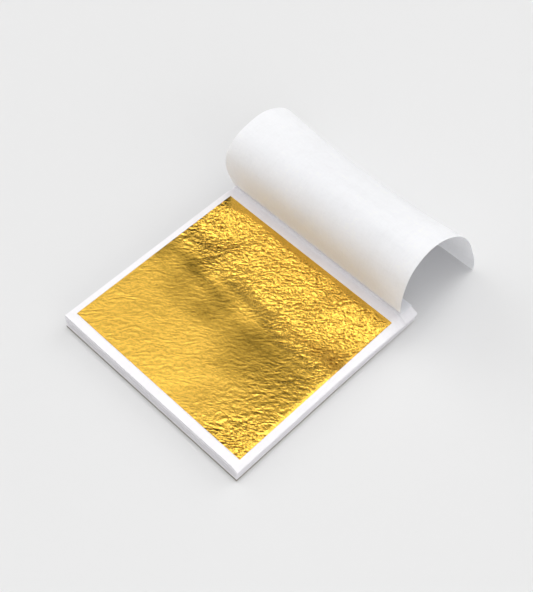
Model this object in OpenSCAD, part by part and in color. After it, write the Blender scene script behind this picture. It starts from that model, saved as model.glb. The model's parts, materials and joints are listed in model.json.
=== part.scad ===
/* [Gold leaf] */
// Width of a leaf along the bound edge
leaf_w = 85; // [50:1:160]
// Length of a leaf from front to back
leaf_l = 80; // [50:1:160]
// Thickness that stands in for the leaf's own
leaf_t = 0.04; // [0.02:0.01:0.06]

/* [Pages] */
// Bare margin of the page at each side of the leaf
side_margin = 2.5; // [1:0.1:8]
// Bare margin of the page in front of the leaf
front_margin = 3.9; // [1:0.1:8]
// Bare margin of the page between the leaf and the crease
back_margin = 4.7; // [2:0.1:10]
// Thickness of one tissue page
page_t = 0.1; // [0.06:0.01:0.14]
// Air between a leaf and the page over it
page_air = 0.124; // [0.1:0.002:0.3]

/* [Binding] */
// Width of the glued margin behind the crease
bind_w = 6.4; // [4:0.2:12]
// Slot between the turning pages and the glued margin
crease_gap = 0.5; // [0.4:0.05:0.8]
// Thickness of the back board
board_t = 0.8; // [0.4:0.1:2]

/* [Top sheet] */
// Thickness of the top sheet
sheet_t = 0.12; // [0.08:0.01:0.2]
// Length of the sheet's straight rise from the crease
rise_l = 20; // [14:1:26]
// Length of each of the two strips at the crown of the roll
crown_l = 12; // [8:1:16]
// Length of the strip between them, over the top
top_l = 11; // [8:1:16]
// Length of the strip that starts the fall
fall_l = 14; // [10:1:20]
// Length of the strip before the free edge
tail_l = 16; // [10:1:20]
// Clear height of the closed sheet over the top leaf
sheet_clear = 0.3; // [0.2:0.05:0.6]
// Clear height of the free edge over the table
edge_clear = 0.12; // [0.1:0.02:0.5]
// Bare end of a strip at each fold line
fold_gap = 0.1; // [0.08:0.01:0.2]
// How far the crown of the roll has sunk at its left end
crown_sink = 6.4; // [0:0.2:7]
// How far the fall of the roll is drawn in at the middle of its length
waist = 2.6; // [0:0.2:4]

/* [Hidden] */
leaf_count = 25;
seat_gap = 0.05;
sag_steps = 4;

page_w = leaf_w + 2 * side_margin;
pad_l = front_margin + leaf_l + back_margin + bind_w;
front_y = -pad_l / 2;
back_y = pad_l / 2;
crease_y = back_y - bind_w;
page_back_y = crease_y - crease_gap;
leaf_y = front_y + front_margin;

page_pitch = page_t + leaf_t + page_air;
function page_z(n) = board_t + seat_gap + (leaf_count - n) * page_pitch;
pad_top = page_z(1) + page_t + leaf_t;
bind_top = pad_top + sheet_clear;
fold_z = bind_top + sheet_t / 2;

// Each strip's direction in the side view, in degrees up from the way to the back
strip_turn = [105, 81, 34, -16, -40, -58, -72];
fixed_strips = [rise_l, crown_l, top_l, crown_l, fall_l, tail_l];

// Place of the fold line where a strip starts, as back and up
function strip_start(n) = n == 0
    ? [crease_y, fold_z]
    : strip_start(n - 1) + strip_length(n - 1) * [cos(strip_turn[n - 1]), sin(strip_turn[n - 1])];

// The last strip is as long as the fall that is left for it, down to the table
function strip_length(n) = n < len(fixed_strips)
    ? fixed_strips[n]
    : (strip_start(n)[1] - edge_clear) / abs(sin(strip_turn[n]));

// Each fold line's share of the sunk crown and of the waist, from the crease to the free edge
sink_share = [0, 0, 0.62, 1, 0.4, 0, 0, 0];
waist_share = [0, 0, 0, 0, 0.9, 1, 0.65, 0];

// How far a fold line lies inside its straight hinge line, at a place along the roll
function sag(fold, x) = crown_sink * sink_share[fold] * (0.5 - x / page_w)
    + waist * waist_share[fold] * (1 - pow(2 * x / page_w, 2));

// Way into the roll at a fold line, square to the mean of the two strips that meet there
function inward(fold) =
    let (turn = (strip_turn[max(fold - 1, 0)] + strip_turn[min(fold, len(strip_turn) - 1)]) / 2)
    [sin(turn), -cos(turn)];
function fold_point(fold, x) = strip_start(fold) + sag(fold, x) * inward(fold);

function two_digits(n) = n < 10 ? str("0", n) : str(n);
function page_name(n) = str("tissue_page_", two_digits(n));
function leaf_name(n) = str("gold_leaf_", two_digits(n));
function strip_name(n) = str("top_sheet_strip_", n);

// A flat sheet of paper or metal, centred across the pad, from one depth to another
module sheet(width, y_from, y_to, z, thick) {
    translate([-width / 2, y_from, z])
        cube([width, y_to - y_from, thick]);
}

module back_board() {
    color("#8f8778") sheet(page_w, front_y, back_y, 0, board_t);
}

// The glued margins of all the pages, one block behind the crease
module bound_margins() {
    color("#d9d6d8") sheet(page_w, crease_y, back_y, board_t, bind_top - board_t);
}

// The part of the top sheet that is glued down on the block
module top_sheet_margin() {
    color("#efeef2") sheet(page_w, crease_y + fold_gap, back_y, bind_top, sheet_t);
}

// Four corners of a strip's cross-section at one place along the roll
function strip_section(n, x) =
    let (
        start = fold_point(n - 1, x),
        end = fold_point(n, x),
        way = (end - start) / norm(end - start),
        up = [-way[1], way[0]] * sheet_t / 2,
        low = start + way * fold_gap,
        high = end - way * fold_gap
    )
    [for (corner = [low + up, low - up, high - up, high + up]) [x, corner[0], corner[1]]];

// The two triangles between a corner, the one after it and the same two at the next place,
// split along the same diagonal on both faces of the sheet so that its thickness stays even
function side_faces(i, c) =
    let (a = 4 * i + c, b = 4 * i + (c + 1) % 4)
    c < 2 ? [[a, b, b + 4], [a, b + 4, a + 4]] : [[a, b, a + 4], [b, b + 4, a + 4]];

// One stretch of the rolled-back top sheet, between two fold lines, with the roll's sag
module top_sheet_strip(n) {
    places = [for (i = [0:sag_steps]) page_w * (i / sag_steps - 0.5)];
    sides = [for (i = [0:sag_steps - 1], c = [0:3]) each side_faces(i, c)];
    left_end = [3, 2, 1, 0];
    right_end = 4 * sag_steps * [1, 1, 1, 1] + [0, 1, 2, 3];
    color("#f6f6fa")
        polyhedron([for (x = places) each strip_section(n, x)], concat([left_end], sides, [right_end]));
}

// One tissue page, from the open front edge to the crease
module tissue_page(n) {
    color("#eeedf1") sheet(page_w, front_y, page_back_y, page_z(n), page_t);
}

// One gold leaf, loose on its page
module gold_leaf(n) {
    color("#d9a827") sheet(leaf_w, leaf_y, leaf_y + leaf_l, page_z(n) + page_t, leaf_t);
}

back_board();
bound_margins();
top_sheet_margin();
for (n = [1:len(strip_turn)]) top_sheet_strip(n);
for (n = [1:leaf_count]) tissue_page(n);
for (n = [1:leaf_count]) gold_leaf(n);
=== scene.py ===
import json
import math
import bpy
import numpy as np
from mathutils import Matrix, Vector


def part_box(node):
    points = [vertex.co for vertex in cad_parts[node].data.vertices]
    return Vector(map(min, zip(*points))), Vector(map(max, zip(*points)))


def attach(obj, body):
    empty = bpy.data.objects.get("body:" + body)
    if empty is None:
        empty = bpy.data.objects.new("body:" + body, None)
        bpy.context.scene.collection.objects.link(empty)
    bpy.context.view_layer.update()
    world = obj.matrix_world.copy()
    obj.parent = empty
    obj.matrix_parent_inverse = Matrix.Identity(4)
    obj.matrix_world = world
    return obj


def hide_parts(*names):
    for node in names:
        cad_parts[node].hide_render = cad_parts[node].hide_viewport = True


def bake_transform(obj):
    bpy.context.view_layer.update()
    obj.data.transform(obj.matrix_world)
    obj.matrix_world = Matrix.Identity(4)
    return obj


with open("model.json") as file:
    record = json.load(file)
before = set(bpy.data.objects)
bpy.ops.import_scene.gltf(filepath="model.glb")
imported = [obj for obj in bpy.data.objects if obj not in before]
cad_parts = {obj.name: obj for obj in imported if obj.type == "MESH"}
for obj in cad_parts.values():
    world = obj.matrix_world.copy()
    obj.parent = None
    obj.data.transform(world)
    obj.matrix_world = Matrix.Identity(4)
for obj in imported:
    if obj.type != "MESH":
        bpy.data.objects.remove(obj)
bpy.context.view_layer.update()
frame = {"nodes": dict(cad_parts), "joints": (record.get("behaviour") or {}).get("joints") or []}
mm = 0.001
joints = {j["name"]: j for j in frame["joints"]}
print("frame loaded, nodes:", len(frame["nodes"]))


# small helpers

def smooth(low, high, value):
    t = np.clip((value - low) / (high - low), 0.0, 1.0)
    return t * t * (3 - 2 * t)


def noise2d(x, y, seed):
    # gradient noise over a grid of one unit, between about -0.7 and 0.7
    angles = np.random.default_rng(seed).random((256, 256)) * 2 * math.pi
    xi, yi = np.floor(x).astype(int), np.floor(y).astype(int)
    xf, yf = x - xi, y - yi
    u, v = xf ** 3 * (xf * (xf * 6 - 15) + 10), yf ** 3 * (yf * (yf * 6 - 15) + 10)

    def corner(dx, dy):
        a = angles[(xi + dx) % 256, (yi + dy) % 256]
        return np.cos(a) * (xf - dx) + np.sin(a) * (yf - dy)

    low = corner(0, 0) * (1 - u) + corner(1, 0) * u
    high = corner(0, 1) * (1 - u) + corner(1, 1) * u
    return low * (1 - v) + high * v


def cells2d(x, y, seed):
    # distance to the nearest of many scattered points, along two ways, so that it folds in flat facets
    jitter = np.random.default_rng(seed).random((256, 256, 2))
    xi, yi = np.floor(x).astype(int), np.floor(y).astype(int)
    nearest = np.full(x.shape, 9.0)
    for dx in (-1, 0, 1):
        for dy in (-1, 0, 1):
            point = jitter[(xi + dx) % 256, (yi + dy) % 256]
            away = np.abs(xi + dx + point[..., 0] - x) + np.abs(yi + dy + point[..., 1] - y)
            nearest = np.minimum(nearest, away)
    return nearest


def surfaceNormals(points):
    along = np.gradient(points, axis=0)
    across = np.gradient(points, axis=1)
    normal = np.cross(across, along)
    return normal / np.linalg.norm(normal, axis=2, keepdims=True)


def slabMesh(name, points, normals, thickness, place, material):
    # a thin closed sheet round a grid of points: upper face, lower face and rim
    rows, cols = points.shape[:2]
    count = rows * cols
    verts = np.concatenate([points + normals * thickness / 2, points - normals * thickness / 2])
    verts = verts.reshape(-1, 3)
    index = np.arange(count).reshape(rows, cols)
    a, b = index[:-1, :-1].ravel(), index[:-1, 1:].ravel()
    c, d = index[1:, 1:].ravel(), index[1:, :-1].ravel()
    faces = [np.stack([a, b, c, d], 1), np.stack([d, c, b, a], 1) + count]
    rim = np.concatenate([index[0, :-1], index[:-1, -1], index[-1, :0:-1], index[:0:-1, 0]])
    after = np.roll(rim, -1)
    faces.append(np.stack([after, rim, rim + count, after + count], 1))
    faces = np.concatenate(faces)
    mesh = bpy.data.meshes.new(name)
    mesh.from_pydata(verts.tolist(), [], faces.tolist())
    flat = mesh.attributes.new("flatPlace", "FLOAT_VECTOR", "POINT")
    flat.data.foreach_set("vector", np.concatenate([place, place]).reshape(-1).astype(np.float32))
    mesh.shade_smooth()
    smoothNormals = np.concatenate([normals, -normals]).reshape(-1, 3)
    corners = np.empty(len(mesh.loops), int)
    mesh.loops.foreach_get("vertex_index", corners)
    cornerNormals = smoothNormals[corners]
    cornerNormals[-4 * len(rim):] = 0  # a rim corner keeps its own flat normal
    mesh.normals_split_custom_set(cornerNormals.tolist())
    mesh.materials.append(material)
    obj = bpy.data.objects.new(name, mesh)
    bpy.context.scene.collection.objects.link(obj)
    return obj


# shader groups

def newGroup(name, inputs, outputs):
    group = bpy.data.node_groups.new(name, "ShaderNodeTree")
    for label, kind, value in inputs:
        socket = group.interface.new_socket(label, in_out="INPUT", socket_type=kind)
        if value is not None:
            socket.default_value = value
    for label, kind in outputs:
        group.interface.new_socket(label, in_out="OUTPUT", socket_type=kind)
    return group, group.nodes.new("NodeGroupInput"), group.nodes.new("NodeGroupOutput")


def addNode(tree, kind, values=None, **settings):
    node = tree.nodes.new(kind)
    for key, value in settings.items():
        setattr(node, key, value)
    for key, value in (values or {}).items():
        node.inputs[key].default_value = value
    return node


def joinValues(tree, operation, first, second):
    # a sum, product or the like, of sockets or numbers
    node = addNode(tree, "ShaderNodeMath", operation=operation)
    for socket, value in zip(node.inputs, (first, second)):
        if isinstance(value, bpy.types.NodeSocket):
            tree.links.new(value, socket)
        else:
            socket.default_value = value
    return node.outputs[0]


def toRange(tree, value, lowIn, highIn, lowOut, highOut):
    node = addNode(tree, "ShaderNodeMapRange", {"From Min": lowIn, "From Max": highIn, "To Min": lowOut,
                                                "To Max": highOut})
    tree.links.new(value, node.inputs["Value"])
    return node.outputs["Result"]


def noiseAt(tree, place, values):
    node = addNode(tree, "ShaderNodeTexNoise", values)
    tree.links.new(place, node.inputs["Vector"])
    return node


def stretchedPlace(tree, source, turn, stretch):
    # the flat place turned and scaled, so that a pattern runs long in one direction
    mapping = addNode(tree, "ShaderNodeMapping", {"Rotation": (0, 0, turn), "Scale": stretch})
    tree.links.new(source, mapping.inputs["Vector"])
    return mapping.outputs["Vector"]


fibres = {
    "long": {"Scale": 900.0, "Detail": 3.0, "Distortion": 1.2},
    "longTurn": 0.9,
    "longStretch": (1, 0.22, 1),
    "cross": {"Scale": 900.0, "Detail": 2.0, "Distortion": 1.6},
    "crossTurn": -0.6,
    "crossStretch": (0.25, 1, 1),
    "clouds": {"Scale": 90.0, "Detail": 3.0, "Roughness": 0.6},
    "shade": 0.03,           # how much lighter or darker fibres and clouds are
}


def fibreGroup():
    # long soft fibres and cloudy patches of thin paper, from the sheet's flat place in metres
    group, inside, outside = newGroup(
        "paperFibre",
        [("Place", "NodeSocketVector", None), ("Fibres", "NodeSocketFloat", 1.0),
         ("Clouds", "NodeSocketFloat", 1.0)],
        [("Shade", "NodeSocketFloat"), ("Height", "NodeSocketFloat")])
    place = inside.outputs["Place"]
    shade = fibres["shade"]
    long = noiseAt(group, stretchedPlace(group, place, fibres["longTurn"], fibres["longStretch"]),
                   fibres["long"])
    cross = noiseAt(group, stretchedPlace(group, place, fibres["crossTurn"], fibres["crossStretch"]),
                    fibres["cross"])
    clouds = noiseAt(group, place, fibres["clouds"])
    both = joinValues(group, "ADD", long.outputs["Fac"], cross.outputs["Fac"])
    height = joinValues(group, "MULTIPLY", both, inside.outputs["Fibres"])
    fibreShade = toRange(group, height, 0.6, 1.4, -shade, shade)
    cloudShade = toRange(group, clouds.outputs["Fac"], 0.3, 0.7, -shade, shade)
    cloudShade = joinValues(group, "MULTIPLY", cloudShade, inside.outputs["Clouds"])
    total = joinValues(group, "ADD", fibreShade, cloudShade)
    group.links.new(joinValues(group, "ADD", total, 1.0), outside.inputs["Shade"])
    group.links.new(height, outside.inputs["Height"])
    return group


paperFibre = fibreGroup()


def newMaterial(name):
    material = bpy.data.materials.new(name)
    material.use_nodes = True
    tree = material.node_tree
    return material, tree, tree.nodes["Principled BSDF"], tree.links.new


def pointValue(tree, name, output="Fac"):
    return addNode(tree, "ShaderNodeAttribute", attribute_name=name).outputs[output]


def paperMaterial(name, values):
    material, tree, shader, link = newMaterial(name)
    effect = addNode(tree, "ShaderNodeGroup", node_tree=paperFibre)
    effect.inputs["Fibres"].default_value = values["fibres"]
    effect.inputs["Clouds"].default_value = values["clouds"]
    link(pointValue(tree, "flatPlace", "Vector"), effect.inputs["Place"])
    tint = addNode(tree, "ShaderNodeVectorMath", {0: values["colour"]}, operation="SCALE")
    link(effect.outputs["Shade"], tint.inputs["Scale"])
    link(tint.outputs["Vector"], shader.inputs["Base Color"])
    bump = addNode(tree, "ShaderNodeBump", {"Strength": values["bump"], "Distance": 0.05 * mm})
    link(effect.outputs["Height"], bump.inputs["Height"])
    link(bump.outputs["Normal"], shader.inputs["Normal"])
    shader.inputs["Roughness"].default_value = values["roughness"]
    shader.inputs["Specular IOR Level"].default_value = 0.2
    shader.inputs["Subsurface Weight"].default_value = values["translucency"]
    shader.inputs["Subsurface Scale"].default_value = 0.4 * mm
    shader.inputs["Subsurface Radius"].default_value = (1, 1, 1)
    return material


pagePaper = paperMaterial("pagePaper", {
    "colour": (0.93, 0.915, 0.94), "roughness": 0.75, "bump": 0.25, "fibres": 1.0, "clouds": 0.8,
    "translucency": 0.0})
topPaper = paperMaterial("topSheetPaper", {
    "colour": (0.945, 0.95, 0.99), "roughness": 0.7, "bump": 0.35, "fibres": 1.0, "clouds": 1.0,
    "translucency": 0.6})
boardCard = paperMaterial("greyBoard", {
    "colour": (0.3, 0.27, 0.23), "roughness": 0.9, "bump": 0.6, "fibres": 1.4, "clouds": 3.0,
    "translucency": 0.0})


gold = {
    "colour": (0.93, 0.575, 0.092, 1),
    "creaseColour": (0.36, 0.165, 0.018, 1),  # painted shade: the foil is drawn darker and redder down in its creases
    "turn": math.radians(-42),        # the creases run this way across the leaf
    "calmRoughness": 0.26,
    "crumpledRoughness": 0.1,
    "facets": {"Scale": 1100.0, "Detail": 2.0, "Roughness": 0.6},
    "facetStretch": (0.6, 1, 1),
    "bend": {"Scale": 400.0, "Detail": 2.0},   # the facets' edges wander by this noise
    "bendReach": (2 * mm, 2 * mm, 0),
    "fineHeight": 0.6 * mm,   # height of the finest facets, where the leaf is crumpled
    "grain": {"Scale": 2600.0, "Detail": 2.0},
    "grainStretch": (0.5, 1, 1),
    "grainHeight": 0.018 * mm,
    "creaseShade": 0.4,       # share of the painted crease shade colour down between the finest facets
}


def goldMaterial():
    material, tree, shader, link = newMaterial("goldLeaf")
    place = pointValue(tree, "flatPlace", "Vector")
    crumple = pointValue(tree, "crumple")
    shader.inputs["Metallic"].default_value = 1.0
    bend = noiseAt(tree, place, gold["bend"])
    bent = addNode(tree, "ShaderNodeVectorMath", {1: gold["bendReach"]}, operation="MULTIPLY_ADD")
    link(bend.outputs["Color"], bent.inputs[0])
    link(stretchedPlace(tree, place, gold["turn"], gold["facetStretch"]), bent.inputs[2])
    facets = addNode(tree, "ShaderNodeTexVoronoi", gold["facets"], distance="MANHATTAN", normalize=True)
    link(bent.outputs["Vector"], facets.inputs["Vector"])
    fineHeight = toRange(tree, crumple, 0, 1, 0, gold["fineHeight"])
    fine = joinValues(tree, "MULTIPLY", facets.outputs["Distance"], fineHeight)
    grain = noiseAt(tree, stretchedPlace(tree, place, gold["turn"], gold["grainStretch"]), gold["grain"])
    grainHeight = joinValues(tree, "MULTIPLY", grain.outputs["Fac"], gold["grainHeight"])
    height = joinValues(tree, "ADD", joinValues(tree, "ADD", fine, grainHeight), pointValue(tree, "slope"))
    bump = addNode(tree, "ShaderNodeBump", {"Strength": 1.0, "Distance": 1.0})
    link(height, bump.inputs["Height"])
    link(bump.outputs["Normal"], shader.inputs["Normal"])
    rough = toRange(tree, crumple, 0, 1, gold["calmRoughness"], gold["crumpledRoughness"])
    link(rough, shader.inputs["Roughness"])
    # painted shade: the base colour goes darker and redder down between the finest facets and in tight
    # creases, where shade falls
    shallowShade = toRange(tree, facets.outputs["Distance"], 0.05, 0.3, gold["creaseShade"], 0)
    tint = addNode(tree, "ShaderNodeMix", {"A": gold["colour"], "B": gold["creaseColour"]},
                   data_type="RGBA")
    link(joinValues(tree, "MAXIMUM", shallowShade, pointValue(tree, "hollow")), tint.inputs["Factor"])
    link(tint.outputs["Result"], shader.inputs["Base Color"])
    return material


goldLeaf = goldMaterial()
print("materials made")


# the pad: pages and leaves share one wave field, stronger towards the top

pad = {
    "count": 25,
    "topStep": 0.7 * mm,      # spacing of the top page's points
    "step": 2.5 * mm,         # and of the other pages'
    "creaseZone": 5 * mm,     # all pages have closer points, this far in front of the crease
    "creaseStep": 0.5 * mm,
    "pageThickness": 0.16 * mm,
    "patternShift": 0.05,     # so that no two pages have the same fibres
    "droopRight": 1.6 * mm,   # how far the top page hangs down at its right edge
    "droopWidth": 4.2 * mm,
    "wave": 0.35 * mm,        # height of the long waves at the edges
    "waveLength": 34 * mm,
    "waveEnd": 26 * mm,       # behind this the binding holds the pages flat
    "stagger": 0.3 * mm,      # how unevenly the pages are cut
    "shortPages": (8, 9, 10, 17, 18, 19, 20),  # cut short, so that the pad's edge shows a dark line
    "short": 1.4 * mm,
    "shortReach": 9 * mm,     # a short front edge draws this much of the page with it
    "bundles": (8, 16),       # the pages that start the second and third bundle
    "partings": (0.37, 0.73),  # how high up the pad, from 0 to 1, the bundles part
    "gap": 0.1 * mm,          # the bundles part this much at the open edges
    "skew": (0.7 * mm, -0.5 * mm, 0.4 * mm),  # each bundle's shift at the right back corner
    "pinch": 0.5 * mm,        # dip of the pages just in front of the crease
    "pinchWidth": 4.2 * mm,
    "cornerFold": 0.17 * mm,  # height of a small curled fold across the top page's front right corner
    "foldReach": 2.2 * mm,    # its distance from the corner
    "foldWidth": 0.4 * mm,
}
pageLow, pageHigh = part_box("tissue_page_01")
boardLow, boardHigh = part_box("back_board")
bindLow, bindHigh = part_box("bound_margins")
leafLow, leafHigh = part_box("gold_leaf_01")
padFloor = boardHigh.z
padRise = pageHigh.z - padFloor


def padWave(x, y, level):
    # level is 0 on the board and 1 on the top page
    # it waves most half way up, and the top page only across, so that the bare leaf can slide on it
    edge = smooth(0.6, 1.0, np.abs(x) / pageHigh.x)
    front = smooth(0.6, 1.0, -y / -pageLow.y)
    calm = 1 - 0.8 * smooth(pad["waveEnd"], bindLow.y, y)
    wave = noise2d(x / pad["waveLength"] + 3.3, y / pad["waveLength"] + level * 0.35, 5) * pad["wave"]
    wave = wave * np.maximum(edge, front) * 3 * level * (1 - level) * calm
    wave = wave + pad["gap"] * sum(level > parting for parting in pad["partings"]) * edge * calm
    right = pad["droopRight"] * smooth(pageHigh.x - pad["droopWidth"], pageHigh.x + 1 * mm, x) ** 1.5
    groove = smooth(pageHigh.y - pad["pinchWidth"], pageHigh.y - 0.4 * mm, y)
    groove = groove * smooth(bindLow.y, bindLow.y - 0.6 * mm, y)
    away = np.hypot(x - pageHigh.x, y - pageLow.y)
    fold = pad["cornerFold"] * np.exp(-((away - pad["foldReach"]) / pad["foldWidth"]) ** 2) * (level > 0.99)
    return wave + fold - (right + groove * pad["pinch"]) * level


def pageGrid(number, ys, step):
    # places of a page's points, with its own cut edges
    shift = np.random.default_rng(number).uniform(-1, 1, 3) * pad["stagger"]
    short = pad["short"] * (number in pad["shortPages"])
    skew = pad["skew"][sum(number >= first for first in pad["bundles"])]
    x, y = np.meshgrid(spread(0, 1, step / (pageHigh.x - pageLow.x)), ys)
    left = pageLow.x + shift[0] + short
    right = pageHigh.x + shift[1] * 0.5 - short + skew * smooth(0, bindHigh.y, y)
    y = y + (abs(shift[2]) + short) * smooth(pageLow.y + pad["shortReach"], pageLow.y, y)
    y = y - abs(shift[2]) * 0.4 * smooth(bindLow.y, bindHigh.y, y)
    return left + (right - left) * x, y


def pageSurface(x, y, node):
    low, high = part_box(node)
    level = (low.z - padFloor) / padRise
    z = (low.z + high.z) / 2 + padWave(x, y, level)
    return np.stack([x, y, z], 2)


def layerPlace(points, height):
    # the flat place that a layer's material reads, at a height of its own
    place = points.copy()
    place[:, :, 2] = height
    return place


def spread(low, high, step):
    return np.linspace(low, high, max(2, int(round((high - low) / step)) + 1))


def makePage(number):
    node = f"tissue_page_{number:02d}"
    body = f"page_{number:02d}"
    low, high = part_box(node)
    step = pad["topStep"] if number == 1 else pad["step"]
    tail = bindLow.y + 0.2 * mm if number > 1 else high.y
    zone = high.y - pad["creaseZone"]
    ys = np.concatenate([spread(low.y, zone, step), spread(zone + 0.5 * mm, tail, pad["creaseStep"])])
    points = pageSurface(*pageGrid(number, ys, step), node)
    page = slabMesh(f"page_{number:02d}_paper", points, surfaceNormals(points), pad["pageThickness"],
                    layerPlace(points, number * pad["patternShift"]), pagePaper)
    if number > 1:
        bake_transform(page)
    else:
        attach(page, body)
    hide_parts(node)


leaf = {
    "topStep": 0.3 * mm,      # spacing of the bare leaf's points
    "step": 2.2 * mm,         # spacing of the covered leaves' points
    "thickness": 0.03 * mm,
    "patternShift": 0.07,     # so that no two leaves have the same fine creases
    "turn": math.radians(42),  # the creases run this way across the leaf
    "swell": 0.05 * mm,       # height of the broad swells under the creases
    "facets": [               # length, width, height and turn of the crumpled facets, from large to small
        (6.0 * mm, 2.3 * mm, 0.2 * mm, -0.45),
        (2.9 * mm, 1.3 * mm, -0.2 * mm, 0.1),
        (1.6 * mm, 0.8 * mm, 0.14 * mm, -0.8),
    ],
    "bend": 2.2 * mm,         # how far the facets' lines wander across
    "bow": 1.6 * mm,          # and along
    "wrinkle": 0.025 * mm,    # height of the long wrinkles in the calm part
    "wrinkleLength": 7 * mm,
    "wrinkleWidth": 1.7 * mm,
    "lift": 0.09 * mm,        # how far the leaf floats over its page
    "limit": 0.07 * mm,       # the crumples' height that is real shape; the rest only turns the shine
    "hollow": 1.2 * mm,       # how tight a crease must be to get its full painted shade
}

crumpling = {                 # where the bare leaf is crumpled, from 0 to 1
    "calm": 0.08,
    "wobble": 9 * mm,         # how far each zone's edge wanders
    "spine": (-6 * mm, 24 * mm),  # it starts and is full, from front to back
    "spineLean": 0.1,
    "corner": (42 * mm, -46 * mm),
    "cornerReach": (26 * mm, 6 * mm),
    "right": (8 * mm, 46 * mm),
    "rightShare": 0.3,
    "flatStrip": (0.8 * mm, 4 * mm),  # a flat strip along the spine edge
}

shine = {                     # broad slopes too slight to show as shape, which turn the foil's shine
    "wobble": 6 * mm,
    "valley": 2.5 * mm,       # height of a fall across the middle, which makes the dark band
    "valleyZone": (-20 * mm, 17 * mm),
    "valleyLean": (0.236, 0.972),
    "spineRise": 0.8 * mm,
    "spineZone": (9 * mm, 36 * mm),
    "rightRise": 1.8 * mm,
    "rightZone": (0, 52 * mm),
    "rightTurn": 2.8,         # towards the back the right side's slope turns over
    "streak": 0.45 * mm,      # lighter and darker streaks along the spine
    "streakZone": (-12 * mm, 12 * mm),
    "glints": [               # where the foil shines most: place, reach and height
        (38 * mm, 27 * mm, 24 * mm, 2.8 * mm),
        (-33 * mm, 26 * mm, 16 * mm, 1.5 * mm),
        (34 * mm, -38 * mm, 12 * mm, 0.1 * mm),
    ],
    "glintWidth": 12 * mm,
}


def crumpleAmount(x, y):
    # calm at the front left, crumpled along the spine and at the front right corner
    wobble = noise2d(x / (16 * mm), y / (12 * mm), 27) * crumpling["wobble"]
    spine = smooth(*crumpling["spine"], y + crumpling["spineLean"] * x + wobble)
    cornerX, cornerY = crumpling["corner"]
    corner = smooth(*crumpling["cornerReach"], np.hypot(x - cornerX, y - cornerY) + wobble * 0.5)
    right = smooth(*crumpling["right"], x + wobble) * crumpling["rightShare"]
    edge, inner = crumpling["flatStrip"]
    flatStrip = smooth(leafHigh.y - edge, leafHigh.y - inner + x / 20, y)
    return np.clip(crumpling["calm"] + np.maximum(np.maximum(spine, corner), right) * flatStrip, 0, 1)


def foilSlope(x, y):
    wobble = noise2d(x / (18 * mm), y / (18 * mm), 28) * shine["wobble"]
    leanX, leanY = shine["valleyLean"]
    fall = smooth(*shine["valleyZone"], leanX * x + leanY * y + wobble)
    rise = smooth(*shine["spineZone"], y + 0.14 * x + wobble * 0.6)
    right = smooth(*shine["rightZone"], x + wobble) * (1 - shine["rightTurn"] * smooth(0, 24 * mm, y))
    ends = 0.25 + np.abs(x / (42 * mm)) ** 1.5
    slope = -fall * shine["valley"] + rise * ends * shine["spineRise"] + right * shine["rightRise"]
    streak = noise2d(x / (19 * mm) + 2, y / (7 * mm) + x / (40 * mm), 33) * shine["streak"]
    slope = slope + streak * smooth(*shine["streakZone"], y)
    for middleX, middleY, reach, height in shine["glints"]:
        near = smooth(reach, reach * 0.4, np.hypot(x - middleX, y - middleY))
        toCamera = 0.67 * (x - middleX) - 0.74 * (y - middleY)
        slope = slope - near * np.tanh(toCamera / shine["glintWidth"]) * height
    return slope


def leafCrinkle(x, y):
    along = x * math.cos(leaf["turn"]) + y * math.sin(leaf["turn"])
    across = -x * math.sin(leaf["turn"]) + y * math.cos(leaf["turn"])
    swell = noise2d(along / (14 * mm) + 9, across / (9 * mm) + 4, 21)
    bend = noise2d(along / (6 * mm), across / (5 * mm) + 2, 22) * leaf["bend"]
    bow = noise2d(along / (4 * mm) + 3, across / (4 * mm), 29) * leaf["bow"]
    facets = 0
    for i, (length, width, height, turn) in enumerate(leaf["facets"]):
        u = (along + bow) * math.cos(turn) + (across + bend) * math.sin(turn)
        v = (across + bend) * math.cos(turn) - (along + bow) * math.sin(turn)
        facets = facets + (cells2d(u / length + 5 * i, v / width, 30 + i) - 0.45) * height
    # sharp valleys between flat-sided humps
    long = np.abs(noise2d(along / leaf["wrinkleLength"], (across + bend) / leaf["wrinkleWidth"], 25)) * 2
    crumple = crumpleAmount(x, y)
    return swell * leaf["swell"] + facets * crumple + long * leaf["wrinkle"] * (1 - crumple)


def creaseShadeAmount(height, step):
    # share of painted shade in the foil's colour: 1 down in a crease, 0 on a face or a ridge
    bend = np.gradient(np.gradient(height, step, axis=0), step, axis=0)
    bend = bend + np.gradient(np.gradient(height, step, axis=1), step, axis=1)
    return np.clip(bend * leaf["hollow"], 0, 1)


def addValues(obj, name, values):
    # one number for each point, the same on both faces
    attribute = obj.data.attributes.new(name, "FLOAT", "POINT")
    attribute.data.foreach_set("value", np.concatenate([values.ravel()] * 2).astype(np.float32))


def makeLeaf(number):
    node = f"gold_leaf_{number:02d}"
    low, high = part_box(node)
    step = leaf["topStep"] if number == 1 else leaf["step"]
    x, y = np.meshgrid(spread(low.x, high.x, step), spread(low.y, high.y, step))
    points = pageSurface(x, y, f"tissue_page_{number:02d}")
    points[:, :, 2] += pad["pageThickness"] / 2 + leaf["thickness"]
    slope = foilSlope(x, y)
    if number == 1:
        crinkle = leafCrinkle(x, y)
        shape = leaf["limit"] * np.tanh(crinkle / leaf["limit"])
        points[:, :, 2] += leaf["lift"] + shape
        slope = slope + crinkle - shape
    piece = slabMesh(f"leaf_{number:02d}_gold", points, surfaceNormals(points), leaf["thickness"],
                     layerPlace(points, number * leaf["patternShift"]), goldLeaf)
    addValues(piece, "crumple", crumpleAmount(x, y))
    addValues(piece, "slope", slope)
    # painted crease shade, which the gold material reads to darken the foil in tight creases
    addValues(piece, "hollow", creaseShadeAmount(points[:, :, 2] + slope, step))
    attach(piece, "leaf_01" if number == 1 else f"page_{number:02d}")
    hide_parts(node)


for number in range(pad["count"], 0, -1):
    makePage(number)
    makeLeaf(number)
print("pages and leaves made")


binding = {
    "step": 1 * mm,
    "layer": 0.25 * mm,       # thickness of a page's glued end with its glue
}


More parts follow.
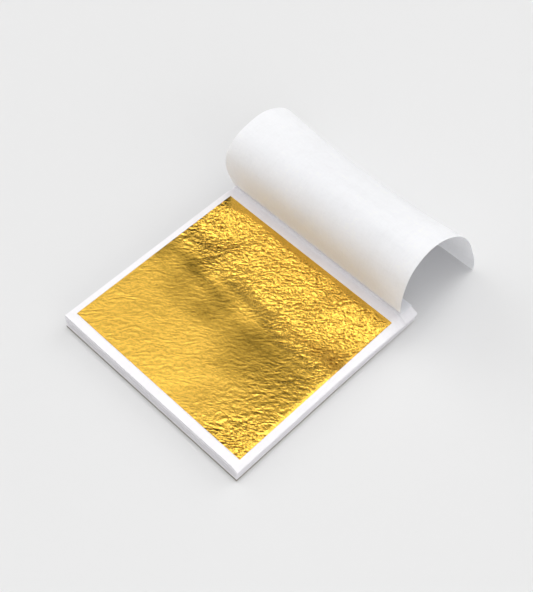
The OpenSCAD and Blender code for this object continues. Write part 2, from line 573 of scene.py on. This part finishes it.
def boundMargins():
    # the pages' glued ends go on behind the crease, layer on layer
    layers = []
    for number in range(pad["count"], 0, -1):
        ys = spread(bindLow.y, bindHigh.y, binding["step"])
        points = pageSurface(*pageGrid(number, ys, pad["step"]), f"tissue_page_{number:02d}")
        layers.append(slabMesh("layer", points, surfaceNormals(points), binding["layer"],
                               layerPlace(points, number * pad["patternShift"]), pagePaper))
    with bpy.context.temp_override(active_object=layers[0], selected_editable_objects=layers):
        bpy.ops.object.join()
    block = layers[0]
    block.name = "bound_margins_paper"
    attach(block, "pad_base")
    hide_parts("bound_margins")


boundMargins()


board = {
    "step": 3 * mm,
    "edge": 0.15 * mm,        # how far its cut edges are worn round
}


def makeBoard():
    low, high = boardLow, boardHigh
    x, y = np.meshgrid(spread(low.x, high.x, board["step"]), spread(low.y, high.y, board["step"]))
    points = np.stack([x, y, np.full_like(x, (low.z + high.z) / 2)], 2)
    piece = slabMesh("back_board_card", points, surfaceNormals(points), high.z - low.z, points, boardCard)
    bevel = piece.modifiers.new("softEdge", "BEVEL")
    bevel.width = board["edge"]
    bevel.segments = 2
    bevel.limit_method = "ANGLE"
    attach(piece, "pad_base")
    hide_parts("back_board")


makeBoard()
print("binding and board made")


# the top sheet: one smooth roll, cut into pieces that bend at the fold lines

roll = {
    "joints": ["top_sheet_turn", "top_sheet_fold_2", "top_sheet_fold_3", "top_sheet_fold_4",
               "top_sheet_curl", "top_sheet_fold_6", "top_sheet_fold_7"],
    "step": 0.35 * mm,        # spacing of points round the roll
    "columns": 72,            # points along the roll
    "thickness": 0.12 * mm,
    "creaseStart": 1.5 * mm,  # the crease curves from this far behind its line
    "creaseReach": 4.5 * mm,  # and over this much of the rise
    "crownSink": 6.4 * mm,    # how far the crown has sunk at the left end
    "waist": 2.6 * mm,        # how far the fall is drawn in at the middle
    "sinkShare": [0, 0, 0.62, 1, 0.4, 0, 0, 0],
    "waistShare": [0, 0, 0, 0, 0.9, 1, 0.65, 0],
    "edgeTuck": 2.0 * mm,     # how far the free edge curls under
    "leftBulge": 1.1 * mm,    # the left edge swings out over the crease,
    "bulgeStart": (0, 9 * mm),
    "bulgeEnd": (34 * mm, 14 * mm),
    "rightNeck": 2.2 * mm,    # the right edge stands in at the crease
    "neckZone": (26 * mm, 0),
    "rightFlare": 1.1 * mm,   # and out at the free end
    "flareZone": (80 * mm, 98 * mm),
    "rimple": 0.1 * mm,       # height of the sheet's slight waves,
    "rimpleZone": (8 * mm, 20 * mm),  # which start behind the glued margin
    "blendShare": 0.3,        # share of a strip's length at each end of it
    "creaseBlend": 1.6 * mm,  # and at the crease no more than this
}


def foldLines():
    folds = [np.array(joints[name]["pos_m"][1:]) for name in roll["joints"]]
    low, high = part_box("top_sheet_strip_7")
    folds.append(np.array([high.y - 0.03 * mm, low.z + 0.03 * mm]))
    return folds


def inwardWays(folds):
    # at each fold, square to the mean direction of the two strips that meet there
    turns = [math.atan2(*(b - a)[::-1]) for a, b in zip(folds, folds[1:])]
    means = [(a + b) / 2 for a, b in zip([turns[0]] + turns, turns + [turns[-1]])]
    return [np.array([math.sin(m), -math.cos(m)]) for m in means]


def rollProfile(folds):
    # lines and curves from the glued margin to the free edge; each fold is rounded between two knots
    margin = np.array([bindHigh.y, folds[0][1]])
    toMargin = (margin - folds[0]) / np.linalg.norm(margin - folds[0])
    rise = (folds[1] - folds[0]) / np.linalg.norm(folds[1] - folds[0])
    knots = [folds[0] + toMargin * roll["creaseStart"], folds[0] + rise * roll["creaseReach"]]
    middle = [(a + b) / 2 for a, b in zip(folds, folds[1:])]
    parts = [("line", margin, knots[0]), ("curve", knots[0], folds[0], knots[1]),
             ("line", knots[1], middle[0])]
    for i in range(1, len(folds) - 1):
        parts.append(("curve", middle[i - 1], folds[i], middle[i]))
    tuck = folds[-1] + np.array([-roll["edgeTuck"], 0])
    parts.append(("curve", middle[-1], middle[-1] + (folds[-1] - middle[-1]) * 0.6, tuck))
    return parts


def samplePart(part, count):
    t = np.linspace(0, 1, count + 1)[1:, None]
    if part[0] == "line":
        return part[1] * (1 - t) + part[2] * t
    return part[1] * (1 - t) ** 2 + part[2] * 2 * t * (1 - t) + part[3] * t ** 2


def rollPoints(folds):
    # rows round the roll, columns along it, and the length round the roll at each row
    inward = inwardWays(folds)
    parts = rollProfile(folds)
    lengths = [np.linalg.norm(np.diff(np.vstack([part[1], samplePart(part, 24)]), axis=0), axis=1).sum()
               for part in parts]
    counts = [max(3, int(length / roll["step"])) for length in lengths]
    across = np.linspace(-1, 1, roll["columns"])
    columns = []
    for u in across:
        sags = [roll["crownSink"] * sink * (1 - u) / 2 + roll["waist"] * waist * (1 - u * u)
                for sink, waist in zip(roll["sinkShare"], roll["waistShare"])]
        own = rollProfile([fold + way * sag for fold, way, sag in zip(folds, inward, sags)])
        columns.append(np.vstack([own[0][1]] + [samplePart(part, n) for part, n in zip(own, counts)]))
    profile = np.stack(columns, 1)
    arc = np.concatenate([[0], np.cumsum(np.linalg.norm(np.diff(profile.mean(1), axis=0), axis=1))])
    rise = arc - (bindHigh.y - folds[0][0])
    bulge = smooth(*roll["bulgeStart"], rise) * smooth(*roll["bulgeEnd"], rise)
    left = pageLow.x - roll["leftBulge"] * bulge
    right = pageHigh.x - roll["rightNeck"] * smooth(*roll["neckZone"], rise)
    right = right + roll["rightFlare"] * smooth(*roll["flareZone"], rise)
    x = left[:, None] + (right - left)[:, None] * (across[None, :] + 1) / 2
    points = np.concatenate([x[:, :, None], profile], 2)
    ends = np.cumsum([0] + counts)
    return points, arc, [0] + [int(ends[c]) for c in range(3, len(counts))] + [len(arc) - 1]


def makeTopSheet():
    folds = foldLines()
    points, arc, rowEnds = rollPoints(folds)
    normals = surfaceNormals(points)
    free = smooth(*roll["rimpleZone"], arc)[:, None]
    rimple = noise2d(points[:, :, 0] / (22 * mm) + 5, arc[:, None] / (16 * mm) + 1, 41)
    rimple = rimple * roll["rimple"] * free
    points = points + normals * rimple[:, :, None]
    normals = surfaceNormals(points)
    length = np.broadcast_to(arc[:, None], rimple.shape)
    place = np.stack([points[:, :, 0], length, np.zeros_like(rimple)], 2)
    bodies = ["pad_base"] + [f"sheet_{i}" for i in range(1, 8)]
    for i in range(8):
        rows = slice(rowEnds[i], rowEnds[i + 1] + 1)
        piece = slabMesh(f"top_sheet_{i + 1}_paper", points[rows], normals[rows], roll["thickness"],
                         place[rows], topPaper)
        if i < 7:
            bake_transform(piece)
        else:
            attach(piece, bodies[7])
        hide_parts("top_sheet_margin" if i == 0 else f"top_sheet_strip_{i}")


makeTopSheet()
print("top sheet made")


# floor, light and camera

table = {
    "size": 4,
    "colour": (0.775, 0.775, 0.775, 1),
}


def makeFloor():
    mesh = bpy.data.meshes.new("floor")
    size = table["size"]
    corners = [(-size, -size, 0), (size, -size, 0), (size, size, 0), (-size, size, 0)]
    mesh.from_pydata(corners, [], [(0, 1, 2, 3)])
    floor = bpy.data.objects.new("floor", mesh)
    bpy.context.scene.collection.objects.link(floor)
    material, tree, shader, link = newMaterial("paleFloor")
    shader.inputs["Base Color"].default_value = table["colour"]
    shader.inputs["Roughness"].default_value = 0.9
    shader.inputs["Specular IOR Level"].default_value = 0.0
    mesh.materials.append(material)


makeFloor()

light = {
    "wall": 0.83,            # what the camera sees past the floor
    "room": {                # a white room, dark behind the pad, which the foil mirrors in its dark zones
        "azimuth": 132, "elevation": 20, "brightness": 0.62,
        "shares": [(52, 1.0), (44, 0.94), (36, 0.86), (31, 0.45), (24, 0.13), (12, 0.04)],
    },
    "box": {                 # a brighter soft box overhead, for the highlights on the crumples
        "azimuth": 132, "elevation": 82, "brightness": 5.9,
        "shares": [(38, 0.0), (28, 0.045), (20, 0.07), (13, 0.26), (5, 1.0)],
    },
    "lamps": {
        "left": {"azimuth": 190, "elevation": 38, "angle": 38, "strength": 0.32},
        "back": {"azimuth": 80, "elevation": 38, "angle": 38, "strength": 0.5},
        "right": {"azimuth": -15, "elevation": 12, "angle": 60, "strength": 0.45},
    },
}


def wayTo(azimuth, elevation):
    a, e = math.radians(azimuth), math.radians(elevation)
    return Vector((math.cos(a) * math.cos(e), math.sin(a) * math.cos(e), math.sin(e)))


def byAngle(tree, way, source):
    # a value that depends on how far a direction is from the source's middle
    toward = wayTo(source["azimuth"], source["elevation"])
    facing = addNode(tree, "ShaderNodeVectorMath", {1: toward}, operation="DOT_PRODUCT")
    tree.links.new(way, facing.inputs[0])
    ramp = addNode(tree, "ShaderNodeValToRGB")
    tree.links.new(facing.outputs["Value"], ramp.inputs["Fac"])
    ramp.color_ramp.interpolation = "EASE"
    stops = ramp.color_ramp.elements
    for i, (degrees, share) in enumerate(source["shares"]):
        place = math.cos(math.radians(degrees))
        stop = stops[i] if i < 2 else stops.new(place)
        stop.position = place
        stop.color = (share, share, share, 1)
    return joinValues(tree, "MULTIPLY", ramp.outputs["Color"], source["brightness"])


def makeWorld():
    world = bpy.data.worlds.new("studio")
    bpy.context.scene.world = world
    world.use_nodes = True
    tree = world.node_tree
    link = tree.links.new
    way = addNode(tree, "ShaderNodeTexCoord").outputs["Generated"]
    total = joinValues(tree, "ADD", byAngle(tree, way, light["room"]), byAngle(tree, way, light["box"]))
    # the camera sees a plain pale wall, as bright as the floor
    seen = addNode(tree, "ShaderNodeMix", {"B": light["wall"]}, data_type="FLOAT")
    link(addNode(tree, "ShaderNodeLightPath").outputs["Is Camera Ray"], seen.inputs["Factor"])
    link(total, seen.inputs["A"])
    background = tree.nodes["Background"]
    background.inputs["Color"].default_value = (1, 1, 1, 1)
    link(seen.outputs["Result"], background.inputs["Strength"])


def makeLamps():
    for name, values in light["lamps"].items():
        lamp = bpy.data.lights.new(name, "SUN")
        lamp.energy = values["strength"]
        lamp.angle = math.radians(values["angle"])
        obj = bpy.data.objects.new(name, lamp)
        toLight = wayTo(values["azimuth"], values["elevation"])
        obj.rotation_euler = toLight.to_track_quat("Z", "Y").to_euler()
        bpy.context.scene.collection.objects.link(obj)


makeWorld()
makeLamps()

view = {
    "azimuth": math.radians(42.003),
    "elevation": math.radians(55.370),
    "roll": math.radians(2.722),
    "target": Vector((1.265, 11.99, 7.33)) * mm,
    "distance": 454.0 * mm,
    "focal": 1208.28,        # in pixels of the 533 x 592 picture
    "pictureHeight": 592,
}


def makeCamera():
    data = bpy.data.cameras.new("camera")
    camera = bpy.data.objects.new("camera", data)
    bpy.context.scene.collection.objects.link(camera)
    a, e = view["azimuth"], view["elevation"]
    back = Vector((math.sin(a) * math.cos(e), -math.cos(a) * math.cos(e), math.sin(e)))
    place = Matrix.Translation(view["target"] + back * view["distance"])
    level = back.to_track_quat("Z", "Y").to_matrix().to_4x4()
    camera.matrix_world = place @ level @ Matrix.Rotation(view["roll"], 4, "Z")
    data.sensor_width = 36
    data.lens = view["focal"] * data.sensor_width / view["pictureHeight"]
    data.clip_start = 0.01
    bpy.context.scene.camera = camera


makeCamera()
bpy.context.scene.view_settings.view_transform = "Standard"
bpy.context.view_layer.update()
